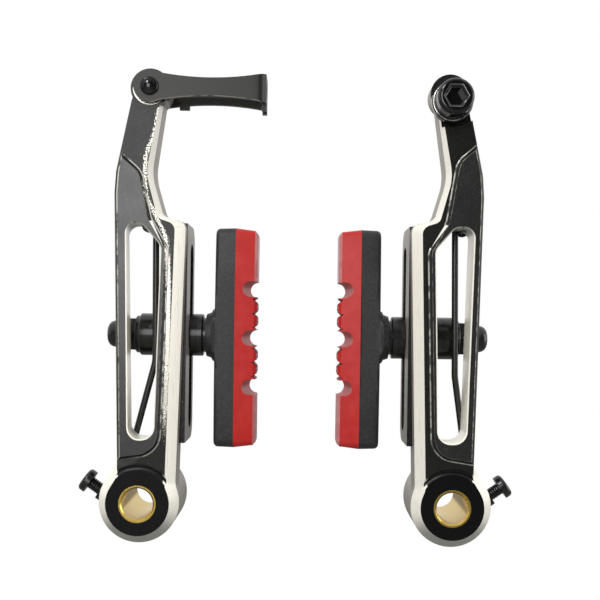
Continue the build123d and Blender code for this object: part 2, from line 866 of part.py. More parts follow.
def make_clamp():
    groove_x = clamp[0] - bolt_r - cable_r
    with BuildPart() as washer:
        with BuildSketch(facing(RIGHT, clamp_recess)):
            with Locations(clamp):
                Circle(clamp_plate_r)
        extrude(amount=clamp_plate_len, dir=FRONT)
        with BuildSketch(facing(RIGHT, bolt_seat)):
            with Locations(clamp):
                Circle(clamp_flange_r)
        extrude(amount=clamp_flange_len, dir=BACK)
        chamfer(washer.edges().group_by(Axis.Y)[0], length=edge_cut)
        with BuildSketch(facing(RIGHT, bolt_seat)):
            with Locations(clamp):
                Circle(bolt_r)
        extrude(amount=clamp_recess - bolt_seat, dir=BACK, mode=Mode.SUBTRACT)
        with BuildSketch(level(RIGHT, clamp[1] - clamp_plate_r)):
            with Locations((groove_x, clamp_recess)):
                Circle(cable_r)
        extrude(amount=2 * clamp_plate_r, dir=UP, mode=Mode.SUBTRACT)
    return washer


def make_bolt():
    with BuildPart() as bolt:
        with BuildSketch(facing(RIGHT, bolt_seat - bolt_head_len)):
            with Locations(clamp):
                Circle(bolt_head_r)
        extrude(amount=bolt_head_len, dir=BACK)
        fillet(bolt.edges().group_by(Axis.Y)[0], radius=bolt_head_round)
        with BuildSketch(facing(RIGHT, bolt_seat)):
            with Locations(clamp):
                Circle(bolt_r)
        extrude(amount=arm_depth - bolt_seat + bolt_tail, dir=BACK)
        chamfer(bolt.edges().group_by(Axis.Y)[-1], length=bolt_point)
        with BuildSketch(facing(RIGHT, bolt_seat - bolt_head_len)):
            with Locations(clamp):
                RegularPolygon(socket_flats / 2, 6, major_radius=False)
        extrude(amount=socket_depth, dir=BACK, mode=Mode.SUBTRACT)
        chamfer(bolt.faces().sort_by(Axis.Y)[0].inner_wires()[0].edges(), length=socket_mouth)
    return bolt


def keep(piece, name):
    piece.part.label = name
    export_step(piece.part, f"parts/{name}.step")


for side, hand in ((LEFT, "left"), (RIGHT, "right")):
    keep(make_arm(side), f"{hand}_arm")
    keep(make_bush(side), f"{hand}_pivot_bush")
    keep(make_holder(side), f"{hand}_spring_holder")
    keep(make_spring(side), f"{hand}_return_spring")
    keep(make_stop(side), f"{hand}_spring_stop")
    keep(make_tension_screw(side), f"{hand}_tension_screw")
    keep(make_compound(side), f"{hand}_pad_compound")
    keep(make_carrier(side), f"{hand}_pad_carrier")
    keep(make_post(side), f"{hand}_pad_post")
    keep(make_cup(side, leg_plate_inner_x, inner_rim_x), f"{hand}_inner_cup_washer")
    keep(make_dome(side, inner_rim_x, inner_neck_start_x, boss_x), f"{hand}_inner_dome_washer")
    keep(make_cup(side, leg_plate_outer_x, outer_rim_x), f"{hand}_outer_cup_washer")
    keep(make_dome(side, outer_rim_x, dome_x), f"{hand}_outer_dome_washer")
    keep(make_flat_washer(side), f"{hand}_flat_washer")
    keep(make_nut(side), f"{hand}_pad_nut")

keep(make_link(), "noodle_link")
keep(make_link_pin(), "link_pin")
keep(make_clamp(), "cable_clamp")
keep(make_bolt(), "cable_bolt")
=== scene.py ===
import bmesh
import bpy
import math
from mathutils import Matrix, Vector


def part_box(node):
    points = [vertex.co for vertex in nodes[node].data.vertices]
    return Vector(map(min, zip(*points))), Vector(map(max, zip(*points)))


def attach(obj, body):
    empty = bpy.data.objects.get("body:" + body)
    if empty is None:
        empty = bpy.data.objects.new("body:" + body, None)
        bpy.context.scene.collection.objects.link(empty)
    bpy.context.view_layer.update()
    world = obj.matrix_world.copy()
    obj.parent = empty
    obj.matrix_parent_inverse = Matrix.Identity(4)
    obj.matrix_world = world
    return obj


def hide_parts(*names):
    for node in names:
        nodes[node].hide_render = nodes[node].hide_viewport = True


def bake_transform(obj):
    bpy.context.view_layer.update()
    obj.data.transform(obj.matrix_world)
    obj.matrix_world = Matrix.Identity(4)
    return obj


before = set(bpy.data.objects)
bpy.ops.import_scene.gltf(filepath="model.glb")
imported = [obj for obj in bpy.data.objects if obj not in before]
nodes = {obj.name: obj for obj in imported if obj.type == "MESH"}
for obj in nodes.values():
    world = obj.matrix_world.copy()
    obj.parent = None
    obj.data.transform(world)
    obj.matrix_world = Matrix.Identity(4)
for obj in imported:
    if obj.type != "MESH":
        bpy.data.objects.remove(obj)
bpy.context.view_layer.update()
scene = bpy.context.scene
scene.view_settings.view_transform = "Standard"
mm = 0.001
hands = {"left": -1, "right": 1}  # the side of the middle that each arm stands on
pivotMm = 40.0  # from the middle to each stud
frontMm = -24.0  # the arms' front face


def linear(hexText):
    parts = [int(hexText[i:i + 2], 16) / 255 for i in (1, 3, 5)]
    return tuple(c / 12.92 if c <= 0.04045 else ((c + 0.055) / 1.055) ** 2.4 for c in parts) + (1.0,)


# adds a node, sets its properties and sockets, and links what feeds it
def addNode(tree, kind, values=None, links=None, **settings):
    node = tree.nodes.new(kind)
    for name, value in settings.items():
        setattr(node, name, value)
    for name, value in (values or {}).items():
        node.inputs[name].default_value = value
    for name, socket in (links or {}).items():
        tree.links.new(socket, node.inputs[name])
    return node


def startMaterial(name, hexText, metallic, roughness):
    material = bpy.data.materials.new(name)
    material.use_nodes = True
    tree = material.node_tree
    shader = tree.nodes["Principled BSDF"]
    shader.inputs["Base Color"].default_value = linear(hexText)
    shader.inputs["Metallic"].default_value = metallic
    shader.inputs["Roughness"].default_value = roughness
    place = addNode(tree, "ShaderNodeTexCoord").outputs["Object"]
    return material, tree, shader, place


# a pattern's scale from the real size of its features
def perMm(size):
    return 1.0 / (size * mm)


# camera: level with the pads' middle, about 240 mm in front of the arms
cameraLook = {"xMm": 0.75, "zMm": 45.8, "gapMm": 240.0, "nearMm": 10.0, "rollDegrees": 0.85,
              "sensorMm": 36.0, "picturePx": 600, "focalPx": 947.0, "eyePx": (300.3, 326.0)}


def makeCamera(look):
    data = bpy.data.cameras.new("packshotCamera")
    data.sensor_fit = "HORIZONTAL"
    data.sensor_width = look["sensorMm"]
    data.lens = look["focalPx"] / look["picturePx"] * data.sensor_width
    data.shift_x = (look["picturePx"] / 2 - look["eyePx"][0]) / look["picturePx"]
    data.shift_y = (look["eyePx"][1] - look["picturePx"] / 2) / look["picturePx"]
    data.clip_start = look["nearMm"] * mm
    camera = bpy.data.objects.new("packshotCamera", data)
    level = Matrix.Rotation(math.radians(90), 4, "X")
    roll = Matrix.Rotation(math.radians(look["rollDegrees"]), 4, "Z")
    eye = Vector((look["xMm"], frontMm - look["gapMm"], look["zMm"])) * mm
    camera.matrix_world = Matrix.Translation(eye) @ level @ roll
    scene.collection.objects.link(camera)
    scene.camera = camera


makeCamera(cameraLook)
print("camera set")

# studio: white at the back and sides, dim behind the camera, so that black faces stay black
# and bevels shine; a tall lamp at the front left gives the left arm's platform its grey sheen, and the
# floor is matt pale paint that the camera sees as white
lampLook = {
    "strip": {"at": (-150, -560, 165), "aim": (-42, -24, 60), "sizeMm": (240, 300), "watts": 1.15},
    "key": {"at": (-260, -480, 520), "aim": (0, -12, 45), "sizeMm": (140, 140), "watts": 1.4},
    "fill": {"at": (420, -70, 90), "aim": (-34, -22, 45), "sizeMm": (150, 300), "watts": 0.55},
}
studioLook = {"white": "#ffffff", "softLevel": 0.76, "dimLevel": 0.07, "dimFrom": -0.85, "dimTo": -0.3,
              "floor": "#8e8e8c", "floorRoughness": 0.6, "floorHalfMm": 1500, "floorDropMm": 60}


def makeSky(look):
    world = bpy.data.worlds.new("whiteSweep")
    world.use_nodes = True
    scene.world = world
    tree = world.node_tree
    tree.nodes.clear()
    path = addNode(tree, "ShaderNodeLightPath")
    toward = addNode(tree, "ShaderNodeTexCoord").outputs["Generated"]
    back = addNode(tree, "ShaderNodeSeparateXYZ", links={0: toward}).outputs["Y"]
    mirrored = addNode(tree, "ShaderNodeMapRange",
                       {"From Min": look["dimFrom"], "From Max": look["dimTo"],
                        "To Min": look["dimLevel"], "To Max": 1.0},
                       {"Value": back}, interpolation_type="SMOOTHSTEP")
    seen = addNode(tree, "ShaderNodeMath", operation="MAXIMUM",
                   links={0: path.outputs["Is Camera Ray"], 1: path.outputs["Is Transmission Ray"]})
    soft = addNode(tree, "ShaderNodeMix", {2: look["softLevel"]},
                   {0: path.outputs["Is Glossy Ray"], 3: mirrored.outputs["Result"]})
    level = addNode(tree, "ShaderNodeMix", {3: 1.0}, {0: seen.outputs[0], 2: soft.outputs[0]})
    sky = addNode(tree, "ShaderNodeBackground", {"Color": linear(look["white"])},
                  {"Strength": level.outputs[0]})
    addNode(tree, "ShaderNodeOutputWorld", links={"Surface": sky.outputs[0]})


def makeFloor(look):
    mesh = bpy.data.meshes.new("studioFloor")
    half, drop = look["floorHalfMm"] * mm, -look["floorDropMm"] * mm
    mesh.from_pydata([(-half, -half, drop), (half, -half, drop), (half, half, drop), (-half, half, drop)],
                     [], [(0, 1, 2, 3)])
    floor = bpy.data.objects.new("studioFloor", mesh)
    scene.collection.objects.link(floor)
    paint, tree, shader = startMaterial("paleFloor", look["floor"], 0.0, look["floorRoughness"])[:3]
    path = addNode(tree, "ShaderNodeLightPath")
    glow = addNode(tree, "ShaderNodeEmission", {"Color": linear(look["white"]), "Strength": 1.0})
    mixed = addNode(tree, "ShaderNodeMixShader",
                    links={"Fac": path.outputs["Is Camera Ray"], 1: shader.outputs[0], 2: glow.outputs[0]})
    tree.links.new(mixed.outputs[0], tree.nodes["Material Output"].inputs["Surface"])
    mesh.materials.append(paint)


def makeLamp(name, look):
    data = bpy.data.lights.new(name + "Lamp", "AREA")
    data.shape = "RECTANGLE"
    data.size = look["sizeMm"][0] * mm
    data.size_y = look["sizeMm"][1] * mm
    data.energy = look["watts"]
    lamp = bpy.data.objects.new(name + "Lamp", data)
    at = Vector(look["at"]) * mm
    aim = Vector(look["aim"]) * mm - at
    lamp.matrix_world = Matrix.Translation(at) @ aim.to_track_quat("-Z", "Y").to_matrix().to_4x4()
    scene.collection.objects.link(lamp)


makeSky(studioLook)
makeFloor(studioLook)
for name, look in lampLook.items():
    makeLamp(name, look)
print("studio set")

# anodised aluminium, blasted before it was dyed: black with a metallic fleck, drawn coarser than the real
# grit so that it shows; the platform was polished instead, so it mirrors the strip lamp as a grey sheen,
# and the hub's turned face is deep black
anodisedLook = {
    "blasted": {"name": "blastedBlackAnodised", "black": "#161715", "fleck": "#34342f", "fleckMm": 0.4,
                "hazeMm": 6.0, "roughness": 0.27, "specular": 0.28, "bump": 0.8, "bumpMm": 0.06},
    "polished": {"name": "polishedBlackAnodised", "black": "#0d0d0c", "fleck": "#34342f", "fleckMm": 0.35,
                 "hazeMm": 8.0, "roughness": 0.3, "specular": 0.7, "bump": 0.8, "bumpMm": 0.05},
    "turned": {"name": "turnedBlackAnodised", "black": "#060606", "fleck": "#10100f", "fleckMm": 0.35,
               "hazeMm": 5.0, "roughness": 0.24, "specular": 0.2, "bump": 0.15, "bumpMm": 0.02},
}
anodisedGrain = {"fleckFrom": 0.58, "fleckTo": 0.78, "smoother": 0.05, "rougher": 0.08}
# the left arm's inner edge has specks of bare silver metal that paint the step's highlight, and a silver
# crescent below the link's pin is a painted highlight on the eye's bevel; the run's stops are height, then
# distance inward from the stud, in mm
rubbedGlintLook = {"run": ((0, 6.4), (20, 6.7), (50, 7.2), (64.5, 6.7), (73.5, 3.6), (84, 0.8), (95, 3.2),
                      (110, 5.3)),
              "zSpanMm": 110.0, "xSpanMm": 10.0, "nearMm": 0.3, "farMm": 1.0, "skinMm": 0.15,
              "thinZ": (58.0, 72.0), "density": (0.36, 0.25), "fadeZ": (13.0, 24.0), "fade": (0.0, 1.0),
              "speckMm": 0.32, "speckFrom": 0.7, "speckTo": 0.77, "silver": "#bcb9af",
              "pin": (-38.2, -24.0, 105.8), "ringMm": 4.24, "ringHalfMm": 0.2}


# share of painted highlight, drawn as bare metal, at a point: 1 in the specks along the run and in the
# crescent, 0 elsewhere
def rubbedGlintShare(tree, place, look):
    axes = addNode(tree, "ShaderNodeSeparateXYZ", links={0: place})
    inward = addNode(tree, "ShaderNodeMath", {1: 1 / mm, 2: pivotMm}, {0: axes.outputs["X"]},
                     operation="MULTIPLY_ADD")
    height = addNode(tree, "ShaderNodeMath", {1: 1 / mm / look["zSpanMm"]}, {0: axes.outputs["Z"]},
                     operation="MULTIPLY")
    run = addNode(tree, "ShaderNodeFloatCurve", links={"Value": height.outputs[0]})
    curve = run.mapping.curves[0]
    stops = [(z / look["zSpanMm"], x / look["xSpanMm"]) for z, x in look["run"]]
    curve.points[0].location, curve.points[1].location = stops[0], stops[-1]
    for stop in stops[1:-1]:
        curve.points.new(*stop)
    run.mapping.update()
    middle = addNode(tree, "ShaderNodeMath", {1: look["xSpanMm"]}, {0: run.outputs[0]}, operation="MULTIPLY")
    apart = addNode(tree, "ShaderNodeMath", links={0: inward.outputs[0], 1: middle.outputs[0]},
                    operation="SUBTRACT")
    apart = addNode(tree, "ShaderNodeMath", links={0: apart.outputs[0]}, operation="ABSOLUTE")
    near = addNode(tree, "ShaderNodeMapRange",
                   {"From Min": look["nearMm"], "From Max": look["farMm"], "To Min": 1.0, "To Max": 0.0},
                   {"Value": apart.outputs[0]})
    front = addNode(tree, "ShaderNodeMath", {1: (frontMm + look["skinMm"]) * mm}, {0: axes.outputs["Y"]},
                    operation="LESS_THAN")
    near = addNode(tree, "ShaderNodeMath", links={0: near.outputs[0], 1: front.outputs[0]},
                   operation="MULTIPLY")
    for (low, high), (start, end) in ((look["thinZ"], look["density"]), (look["fadeZ"], look["fade"])):
        share = addNode(tree, "ShaderNodeMapRange",
                        {"From Min": low * mm, "From Max": high * mm, "To Min": start, "To Max": end},
                        {"Value": axes.outputs["Z"]})
        near = addNode(tree, "ShaderNodeMath", links={0: near.outputs[0], 1: share.outputs["Result"]},
                       operation="MULTIPLY")
    # painted highlight: silver specks along the left arm's inner edge
    specks = addNode(tree, "ShaderNodeTexNoise", {"Scale": perMm(look["speckMm"]), "Detail": 3.0},
                     {"Vector": place})
    total = addNode(tree, "ShaderNodeMath", links={0: specks.outputs["Fac"], 1: near.outputs[0]},
                    operation="ADD")
    worn = addNode(tree, "ShaderNodeMapRange", {"From Min": look["speckFrom"], "From Max": look["speckTo"]},
                   {"Value": total.outputs[0]})
    # painted highlight: a silver crescent below the link's pin, on the eye's bevel
    away = addNode(tree, "ShaderNodeVectorMath", {1: [c * mm for c in look["pin"]]}, {0: place},
                   operation="DISTANCE")
    ring = addNode(tree, "ShaderNodeMath", {1: look["ringMm"] * mm, 2: look["ringHalfMm"] * mm},
                   {0: away.outputs["Value"]}, operation="COMPARE")
    below = addNode(tree, "ShaderNodeMath", {1: look["pin"][2] * mm}, {0: axes.outputs["Z"]},
                    operation="LESS_THAN")
    ring = addNode(tree, "ShaderNodeMath", links={0: ring.outputs[0], 1: below.outputs[0]},
                   operation="MULTIPLY")
    bare = addNode(tree, "ShaderNodeMath", links={0: worn.outputs["Result"], 1: ring.outputs[0]},
                   operation="MAXIMUM")
    return bare.outputs[0]


def makeAnodised(look, grain, rubbedGlint=None):
    name = look["name"] + ("RubbedGlint" if rubbedGlint else "")
    material, tree, shader, place = startMaterial(name, look["black"], 0.0, look["roughness"])
    shader.inputs["Specular IOR Level"].default_value = look["specular"]
    fine = addNode(tree, "ShaderNodeTexNoise", {"Scale": perMm(look["fleckMm"]), "Detail": 2.0},
                   {"Vector": place})
    fleck = addNode(tree, "ShaderNodeMapRange",
                    {"From Min": grain["fleckFrom"], "From Max": grain["fleckTo"]},
                    {"Value": fine.outputs["Fac"]})
    colour = addNode(tree, "ShaderNodeMix", {6: linear(look["black"]), 7: linear(look["fleck"])},
                     {0: fleck.outputs["Result"]}, data_type="RGBA")
    haze = addNode(tree, "ShaderNodeTexNoise", {"Scale": perMm(look["hazeMm"]), "Detail": 3.0},
                   {"Vector": place})
    rough = addNode(tree, "ShaderNodeMapRange",
                    {"To Min": look["roughness"] - grain["smoother"],
                     "To Max": look["roughness"] + grain["rougher"]},
                    {"Value": haze.outputs["Fac"]})
    tree.links.new(rough.outputs["Result"], shader.inputs["Roughness"])
    bump = addNode(tree, "ShaderNodeBump", {"Strength": look["bump"], "Distance": look["bumpMm"] * mm},
                   {"Height": fine.outputs["Fac"]})
    tree.links.new(bump.outputs["Normal"], shader.inputs["Normal"])
    if rubbedGlint:
        share = rubbedGlintShare(tree, place, rubbedGlint)
        colour = addNode(tree, "ShaderNodeMix", {7: linear(rubbedGlint["silver"])},
                         {0: share, 6: colour.outputs[2]}, data_type="RGBA")
        tree.links.new(share, shader.inputs["Metallic"])
    tree.links.new(colour.outputs[2], shader.inputs["Base Color"])
    return material


# aluminium milled bare after anodising: pale, with fine cutter lines along the arm, and a painted shade that
# darkens it where it faces down; the arm's inner sides keep the forging's duller skin, a greyer and softer
# shine whose darker colour is partly painted shade
bareLook = {
    "milled": {"name": "milledBareAluminium", "metal": "#fbf8ee", "shade": "#f0ecdf", "paintedUnderShade": "#a09f98",
               "lineMm": 0.18, "runMm": 9.0, "metallic": 0.2, "roughness": 0.28},
    # the inner sides' copy: its greyer colour is partly painted shade of those sides
    "shadedForged": {"name": "shadedForgedAluminium", "metal": "#a6a198", "shade": "#8d8884", "paintedUnderShade": "#8a867f",
               "lineMm": 0.3, "runMm": 5.0, "metallic": 0.25, "roughness": 0.42},
}
bareGrain = {"underShadeFrom": -0.62, "underShadeTo": -0.12, "smoother": 0.06, "rougher": 0.08,
             "bump": 0.06, "bumpMm": 0.02}


def makeBare(look, grain):
    material, tree, shader, place = startMaterial(look["name"], look["metal"], look["metallic"],
                                                  look["roughness"])
    stretched = addNode(tree, "ShaderNodeMapping",
                        {"Scale": (perMm(look["lineMm"]), perMm(look["lineMm"]), perMm(look["runMm"]))},
                        {"Vector": place})
    lines = addNode(tree, "ShaderNodeTexNoise", {"Scale": 1.0, "Detail": 3.0},
                    {"Vector": stretched.outputs[0]})
    colour = addNode(tree, "ShaderNodeMix", {6: linear(look["shade"]), 7: linear(look["metal"])},
                     {0: lines.outputs["Fac"]}, data_type="RGBA")
    facing = addNode(tree, "ShaderNodeTexCoord").outputs["Normal"]
    rise = addNode(tree, "ShaderNodeSeparateXYZ", links={0: facing}).outputs["Z"]
    # painted shade: the colour darkens towards the under colour where the surface faces down
    paintedUnderShade = addNode(tree, "ShaderNodeMapRange",
                    {"From Min": grain["underShadeFrom"], "From Max": grain["underShadeTo"],
                     "To Min": 1.0, "To Max": 0.0},
                    {"Value": rise}, interpolation_type="SMOOTHSTEP")
    colour = addNode(tree, "ShaderNodeMix", {7: linear(look["paintedUnderShade"])},
                     {0: paintedUnderShade.outputs["Result"], 6: colour.outputs[2]}, data_type="RGBA")
    tree.links.new(colour.outputs[2], shader.inputs["Base Color"])
    rough = addNode(tree, "ShaderNodeMapRange",
                    {"To Min": look["roughness"] - grain["smoother"],
                     "To Max": look["roughness"] + grain["rougher"]},
                    {"Value": lines.outputs["Fac"]})
    tree.links.new(rough.outputs["Result"], shader.inputs["Roughness"])
    bump = addNode(tree, "ShaderNodeBump", {"Strength": grain["bump"], "Distance": grain["bumpMm"] * mm},
                   {"Height": lines.outputs["Fac"]})
    tree.links.new(bump.outputs["Normal"], shader.inputs["Normal"])
    return material


# edges where the black is cut through, their silver partly bare metal and partly a painted edge highlight: a
# broken silver line at the platform's foot and left rim and on the link and clamp, a dulled one on the
# platform's other edges and round the bolt's mouth
cutLook = {
    "bright": {"name": "brightEdgeHighlight", "silver": "#dcd9d0", "black": "#4a4a47", "breakMm": 2.5,
               "breakFrom": 0.4, "breakTo": 0.56, "roughness": 0.3},
    "dull": {"name": "dimEdgeHighlight", "silver": "#8f8d86", "black": "#232322", "breakMm": 1.8,
             "breakFrom": 0.4, "breakTo": 0.56, "roughness": 0.38},
}


def makeCut(look):
    material, tree, shader, place = startMaterial(look["name"], look["silver"], 1.0, look["roughness"])
    # painted edge highlight: the silver along the cut, broken by noise
    noise = addNode(tree, "ShaderNodeTexNoise", {"Scale": perMm(look["breakMm"]), "Detail": 4.0},
                    {"Vector": place})
    share = addNode(tree, "ShaderNodeMapRange", {"From Min": look["breakFrom"], "From Max": look["breakTo"]},
                    {"Value": noise.outputs["Fac"]})
    colour = addNode(tree, "ShaderNodeMix", {6: linear(look["black"]), 7: linear(look["silver"])},
                     {0: share.outputs["Result"]}, data_type="RGBA")
    tree.links.new(colour.outputs[2], shader.inputs["Base Color"])
    tree.links.new(share.outputs["Result"], shader.inputs["Metallic"])
    return material


# brass turned on a lathe: warm yellow with rings round the bore
brassLook = {"name": "turnedBrass", "metal": "#d8bb66", "shade": "#c2a34c", "ringMm": 0.25, "runMm": 8.0,
             "roughness": 0.26, "bump": 0.2, "bumpMm": 0.02}


def makeBrass(look):
    material, tree, shader, place = startMaterial(look["name"], look["metal"], 1.0, look["roughness"])
    rings = addNode(tree, "ShaderNodeMapping",
                    {"Scale": (perMm(look["runMm"]), perMm(look["ringMm"]), perMm(look["runMm"]))},
                    {"Vector": place})
    noise = addNode(tree, "ShaderNodeTexNoise", {"Scale": 1.0, "Detail": 2.0}, {"Vector": rings.outputs[0]})
    colour = addNode(tree, "ShaderNodeMix", {6: linear(look["shade"]), 7: linear(look["metal"])},
                     {0: noise.outputs["Fac"]}, data_type="RGBA")
    tree.links.new(colour.outputs[2], shader.inputs["Base Color"])
    bump = addNode(tree, "ShaderNodeBump", {"Strength": look["bump"], "Distance": look["bumpMm"] * mm},
                   {"Height": noise.outputs["Fac"]})
    tree.links.new(bump.outputs["Normal"], shader.inputs["Normal"])
    return material


# moulded rubber: soft broad shine, a fine grain and a paler dusty bloom; the friction face and its lip
# are scuffed to a dusty pink, and the tread's grooves take a darker red, a painted shade
rubberLook = {
    "red": {"name": "redBrakeRubber", "base": "#b5201d", "bloom": "#c43a36", "grainMm": 0.25,
            "cloudMm": 3.5, "roughness": 0.42, "specular": 0.3},
    "scuffed": {"name": "scuffedBrakeRubber", "base": "#b87072", "bloom": "#d29c9c", "grainMm": 0.3,
                "cloudMm": 2.5, "roughness": 0.38, "specular": 0.5},
    "grooveShade": {"name": "grooveShadeRubber", "base": "#7d1315", "bloom": "#8c1d1d", "grainMm": 0.25,
               "cloudMm": 5.0, "roughness": 0.5, "specular": 0.25},
    "black": {"name": "blackCarrierRubber", "base": "#1b1d1c", "bloom": "#3c3e3b", "grainMm": 0.3,
              "cloudMm": 0.7, "roughness": 0.5, "specular": 0.5},
}
rubberGrain = {"bloomFrom": 0.4, "bloomTo": 0.75, "bloomMost": 0.5, "bump": 0.2, "bumpMm": 0.03}


def makeRubber(look, grain):
    material, tree, shader, place = startMaterial(look["name"], look["base"], 0.0, look["roughness"])
    shader.inputs["Specular IOR Level"].default_value = look["specular"]
    cloud = addNode(tree, "ShaderNodeTexNoise", {"Scale": perMm(look["cloudMm"]), "Detail": 4.0},
                    {"Vector": place})
    bloom = addNode(tree, "ShaderNodeMapRange",
                    {"From Min": grain["bloomFrom"], "From Max": grain["bloomTo"],
                     "To Max": grain["bloomMost"]},
                    {"Value": cloud.outputs["Fac"]})
    colour = addNode(tree, "ShaderNodeMix", {6: linear(look["base"]), 7: linear(look["bloom"])},
                     {0: bloom.outputs["Result"]}, data_type="RGBA")
    tree.links.new(colour.outputs[2], shader.inputs["Base Color"])
    pores = addNode(tree, "ShaderNodeTexNoise", {"Scale": perMm(look["grainMm"]), "Detail": 2.0},
                    {"Vector": place})
    bump = addNode(tree, "ShaderNodeBump", {"Strength": grain["bump"], "Distance": grain["bumpMm"] * mm},
                   {"Height": pores.outputs["Fac"]})
    tree.links.new(bump.outputs["Normal"], shader.inputs["Normal"])
    return material


# steel with a baked black coat: dark, smooth, with sharp highlights; the pressed link's coat is browner, and
# the link's rivet, the clamp and the bolt are polished, so they show small glints
blackSteelLook = {
    "coated": {"name": "blackCoatedSteel", "base": "#0c0c0c", "worn": "#191918", "grainMm": 0.3,
               "roughness": 0.22, "specular": 0.5},
    "pressed": {"name": "pressedBlackSteel", "base": "#171611", "worn": "#26251e", "grainMm": 0.45,
                "roughness": 0.36, "specular": 0.4},
    "polished": {"name": "polishedBlackSteel", "base": "#060608", "worn": "#0c0c0f", "grainMm": 0.3,
                 "roughness": 0.13, "specular": 0.5},
}
blackSteelGrain = {"smoother": 0.06, "rougher": 0.1, "bump": 0.1, "bumpMm": 0.02}


def makeBlackSteel(look, grain):
    material, tree, shader, place = startMaterial(look["name"], look["base"], 0.0, look["roughness"])
    shader.inputs["Specular IOR Level"].default_value = look["specular"]
    coat = addNode(tree, "ShaderNodeTexNoise", {"Scale": perMm(look["grainMm"]), "Detail": 3.0},
                   {"Vector": place})
    colour = addNode(tree, "ShaderNodeMix", {6: linear(look["base"]), 7: linear(look["worn"])},
                     {0: coat.outputs["Fac"]}, data_type="RGBA")
    tree.links.new(colour.outputs[2], shader.inputs["Base Color"])
    rough = addNode(tree, "ShaderNodeMapRange",
                    {"To Min": look["roughness"] - grain["smoother"],
                     "To Max": look["roughness"] + grain["rougher"]},
                    {"Value": coat.outputs["Fac"]})
    tree.links.new(rough.outputs["Result"], shader.inputs["Roughness"])
    bump = addNode(tree, "ShaderNodeBump", {"Strength": grain["bump"], "Distance": grain["bumpMm"] * mm},
                   {"Height": coat.outputs["Fac"]})
    tree.links.new(bump.outputs["Normal"], shader.inputs["Normal"])
    return material


# nylon, injection moulded: dark and slightly matt
nylonLook = {"name": "blackNylon", "base": "#1e1e1f", "grainMm": 0.2, "roughness": 0.55,
             "bump": 0.2, "bumpMm": 0.02}


def makeNylon(look):
    material, tree, shader, place = startMaterial(look["name"], look["base"], 0.0, look["roughness"])
    skin = addNode(tree, "ShaderNodeTexNoise", {"Scale": perMm(look["grainMm"]), "Detail": 2.0},
                   {"Vector": place})
    bump = addNode(tree, "ShaderNodeBump", {"Strength": look["bump"], "Distance": look["bumpMm"] * mm},
                   {"Height": skin.outputs["Fac"]})
    tree.links.new(bump.outputs["Normal"], shader.inputs["Normal"])
    return material


blasted = makeAnodised(anodisedLook["blasted"], anodisedGrain)
rubbedGlint = makeAnodised(anodisedLook["blasted"], anodisedGrain, rubbedGlintLook)
polished = makeAnodised(anodisedLook["polished"], anodisedGrain)
turned = makeAnodised(anodisedLook["turned"], anodisedGrain)
brightCutGlint = makeCut(cutLook["bright"])
dullCutGlint = makeCut(cutLook["dull"])
milled = makeBare(bareLook["milled"], bareGrain)
shadedForged = makeBare(bareLook["shadedForged"], bareGrain)
brass = makeBrass(brassLook)
redRubber = makeRubber(rubberLook["red"], rubberGrain)
scuffedRubber = makeRubber(rubberLook["scuffed"], rubberGrain)
shadedGrooveRubber = makeRubber(rubberLook["grooveShade"], rubberGrain)
blackRubber = makeRubber(rubberLook["black"], rubberGrain)
blackSteel = makeBlackSteel(blackSteelLook["coated"], blackSteelGrain)
pressedSteel = makeBlackSteel(blackSteelLook["pressed"], blackSteelGrain)
polishedSteel = makeBlackSteel(blackSteelLook["polished"], blackSteelGrain)
nylon = makeNylon(nylonLook)
print("materials made:", len(bpy.data.materials))

# how the solids' meshes are welded and shaded
meshLook = {"weldMm": 0.002, "smoothDegrees": 32}


# a copy of a solid's mesh, its doubled points welded, to be finished here
def startPiece(node, name):
    mesh = nodes[node].data.copy()
    mesh.name = name
    mesh.materials.clear()
    if "custom_normal" in mesh.attributes:
        mesh.attributes.remove(mesh.attributes["custom_normal"])
    piece = bpy.data.objects.new(name, mesh)
    scene.collection.objects.link(piece)
    work = bmesh.new()
    work.from_mesh(mesh)
    bmesh.ops.remove_doubles(work, verts=work.verts, dist=meshLook["weldMm"] * mm)
    return piece, work


# a new closed mesh from its points and faces
def newSolid(name, points, faces):
    mesh = bpy.data.meshes.new(name)
    mesh.from_pydata(points, [], faces)
    work = bmesh.new()
    work.from_mesh(mesh)
    bmesh.ops.recalc_face_normals(work, faces=work.faces)
    work.to_mesh(mesh)
    work.free()
    solid = bpy.data.objects.new(name, mesh)
    scene.collection.objects.link(solid)
    return solid


def sharpEdges(work, degrees):
    limit = math.radians(degrees)
    return [e for e in work.edges if len(e.link_faces) == 2 and e.calc_face_angle(0.0) > limit]


# cuts a narrow flat along edges, in a material of its own
def cutEdges(work, edges, widthMm, material):
    if edges:
        bmesh.ops.bevel(work, geom=edges, offset=widthMm * mm, segments=1, profile=0.5, affect="EDGES",
                        clamp_overlap=False, material=material)


def endPiece(piece, work, materials, body, node):
    for face in work.faces:
        face.smooth = True
    for edge in sharpEdges(work, meshLook["smoothDegrees"]):
        edge.smooth = False
    work.to_mesh(piece.data)
    work.free()
    for material in materials:
        piece.data.materials.append(material)
    if body:
        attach(piece, body)
    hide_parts(node)


